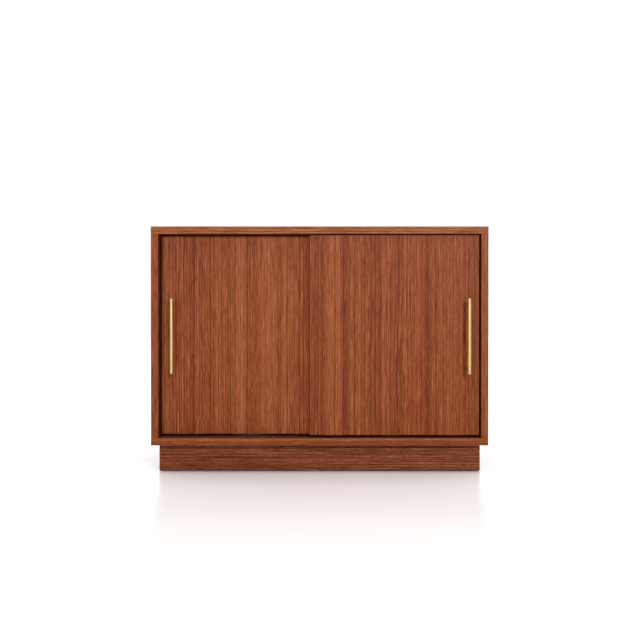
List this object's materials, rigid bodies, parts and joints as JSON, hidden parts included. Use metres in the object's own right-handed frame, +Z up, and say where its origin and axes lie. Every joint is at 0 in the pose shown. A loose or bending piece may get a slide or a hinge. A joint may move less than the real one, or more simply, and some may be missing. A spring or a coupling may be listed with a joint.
{
  "type": "media cabinet",
  "caption": "Low wooden media cabinet on a recessed plinth, with by-pass sliding doors, round metal bar pulls, shelves inside and cable holes in the back.",
  "frame": {"origin": "on the floor, under the middle of the whole box with the bar pulls", "axes": "+X to the right as seen from the front, +Y to the back, +Z up"},
  "size_m": [0.914, 0.4835, 0.67],
  "materials": {
    "case_veneer": "reddish-brown straight-grained veneer, satin lacquer",
    "door_veneer": "reddish-brown veneer with upright grain, satin lacquer",
    "plinth_veneer": "darker reddish-brown veneer with level grain, satin lacquer",
    "back_veneer": "veneered thin plywood, matte lacquer",
    "core_wood": "bare beech and poplar",
    "brass": "fine brushed, pale, clear-lacquered",
    "bronze": "dark bronze anodised extrusion",
    "steel": "zinc-plated",
    "zinc": "nickel-plated die-cast",
    "nylon": "charcoal nylon, matte",
    "black_plastic": "fine-grained black moulding",
    "rubber": "matte"
  },
  "bodies": {
    "case": {"top_panel": "case_veneer", "bottom_panel": "case_veneer", "left_side": "case_veneer", "right_side": "case_veneer", "center_divider": "case_veneer", "back_panel": "back_veneer", "left_shelf": "case_veneer", "right_shelf": "case_veneer", "left_shelf_pins": "zinc", "right_shelf_pins": "zinc", "plinth_front": "plinth_veneer", "plinth_back": "plinth_veneer", "plinth_left": "plinth_veneer", "plinth_right": "plinth_veneer", "plinth_corner_blocks": "core_wood", "plinth_screws": "steel", "floor_glides": "nylon", "case_dowels": "core_wood", "cam_bolts": "zinc", "cam_discs": "zinc", "top_track": "bronze", "bottom_track": "bronze", "track_screws": "steel", "door_bumpers": "rubber", "left_cable_grommet": "black_plastic", "right_cable_grommet": "black_plastic"},
    "left_door_unit": {"left_door": "door_veneer", "left_handle_bar": "brass", "left_handle_posts": "brass", "left_handle_screws": "steel", "left_outer_roller_housing": "black_plastic", "left_inner_roller_housing": "black_plastic", "left_roller_axles": "steel", "left_roller_screws": "steel", "left_guide_housings": "black_plastic", "left_outer_guide_spring": "steel", "left_inner_guide_spring": "steel"},
    "left_outer_wheel_unit": {"left_outer_wheel": "nylon"},
    "left_outer_pin_unit": {"left_outer_guide_pin": "nylon"},
    "left_inner_wheel_unit": {"left_inner_wheel": "nylon"},
    "left_inner_pin_unit": {"left_inner_guide_pin": "nylon"},
    "right_door_unit": {"right_door": "door_veneer", "right_handle_bar": "brass", "right_handle_posts": "brass", "right_handle_screws": "steel", "right_outer_roller_housing": "black_plastic", "right_inner_roller_housing": "black_plastic", "right_roller_axles": "steel", "right_roller_screws": "steel", "right_guide_housings": "black_plastic", "right_outer_guide_spring": "steel", "right_inner_guide_spring": "steel"},
    "right_outer_wheel_unit": {"right_outer_wheel": "nylon"},
    "right_outer_pin_unit": {"right_outer_guide_pin": "nylon"},
    "right_inner_wheel_unit": {"right_inner_wheel": "nylon"},
    "right_inner_pin_unit": {"right_inner_guide_pin": "nylon"}
  },
  "joints": [
    {"name": "left_door_slide", "type": "slide", "parent": "case", "child": "left_door_unit", "axis": [1, 0, 0], "range_m": [0, 0.367]},
    {"name": "right_door_slide", "type": "slide", "parent": "case", "child": "right_door_unit", "axis": [1, 0, 0], "range_m": [-0.367, 0]},
    {"name": "left_outer_wheel_spin", "type": "hinge", "parent": "left_door_unit", "child": "left_outer_wheel_unit", "pos_m": [-0.3636, -0.17325, 0.1063], "axis": [0, 1, 0], "continuous": true},
    {"name": "left_inner_wheel_spin", "type": "hinge", "parent": "left_door_unit", "child": "left_inner_wheel_unit", "pos_m": [-0.043, -0.17325, 0.1063], "axis": [0, 1, 0], "continuous": true},
    {"name": "right_outer_wheel_spin", "type": "hinge", "parent": "right_door_unit", "child": "right_outer_wheel_unit", "pos_m": [0.3636, -0.19725, 0.1063], "axis": [0, 1, 0], "continuous": true},
    {"name": "right_inner_wheel_spin", "type": "hinge", "parent": "right_door_unit", "child": "right_inner_wheel_unit", "pos_m": [0.043, -0.19725, 0.1063], "axis": [0, 1, 0], "continuous": true},
    {"name": "left_outer_pin_press", "type": "slide", "parent": "left_door_unit", "child": "left_outer_pin_unit", "axis": [0, 0, 1], "range_m": [-0.008, 0], "stiffness_N_per_m": 300, "springref_m": 0.004, "deforming": ["left_outer_guide_spring"]},
    {"name": "left_inner_pin_press", "type": "slide", "parent": "left_door_unit", "child": "left_inner_pin_unit", "axis": [0, 0, 1], "range_m": [-0.008, 0], "stiffness_N_per_m": 300, "springref_m": 0.004, "deforming": ["left_inner_guide_spring"]},
    {"name": "right_outer_pin_press", "type": "slide", "parent": "right_door_unit", "child": "right_outer_pin_unit", "axis": [0, 0, 1], "range_m": [-0.008, 0], "stiffness_N_per_m": 300, "springref_m": 0.004, "deforming": ["right_outer_guide_spring"]},
    {"name": "right_inner_pin_press", "type": "slide", "parent": "right_door_unit", "child": "right_inner_pin_unit", "axis": [0, 0, 1], "range_m": [-0.008, 0], "stiffness_N_per_m": 300, "springref_m": 0.004, "deforming": ["right_inner_guide_spring"]}
  ],
  "couplings": [
    {"joint": "left_outer_wheel_spin", "follows": "left_door_slide", "rad_per_m": 71.429},
    {"joint": "left_inner_wheel_spin", "follows": "left_door_slide", "rad_per_m": 71.429},
    {"joint": "right_outer_wheel_spin", "follows": "right_door_slide", "rad_per_m": 71.429},
    {"joint": "right_inner_wheel_spin", "follows": "right_door_slide", "rad_per_m": 71.429}
  ]
}
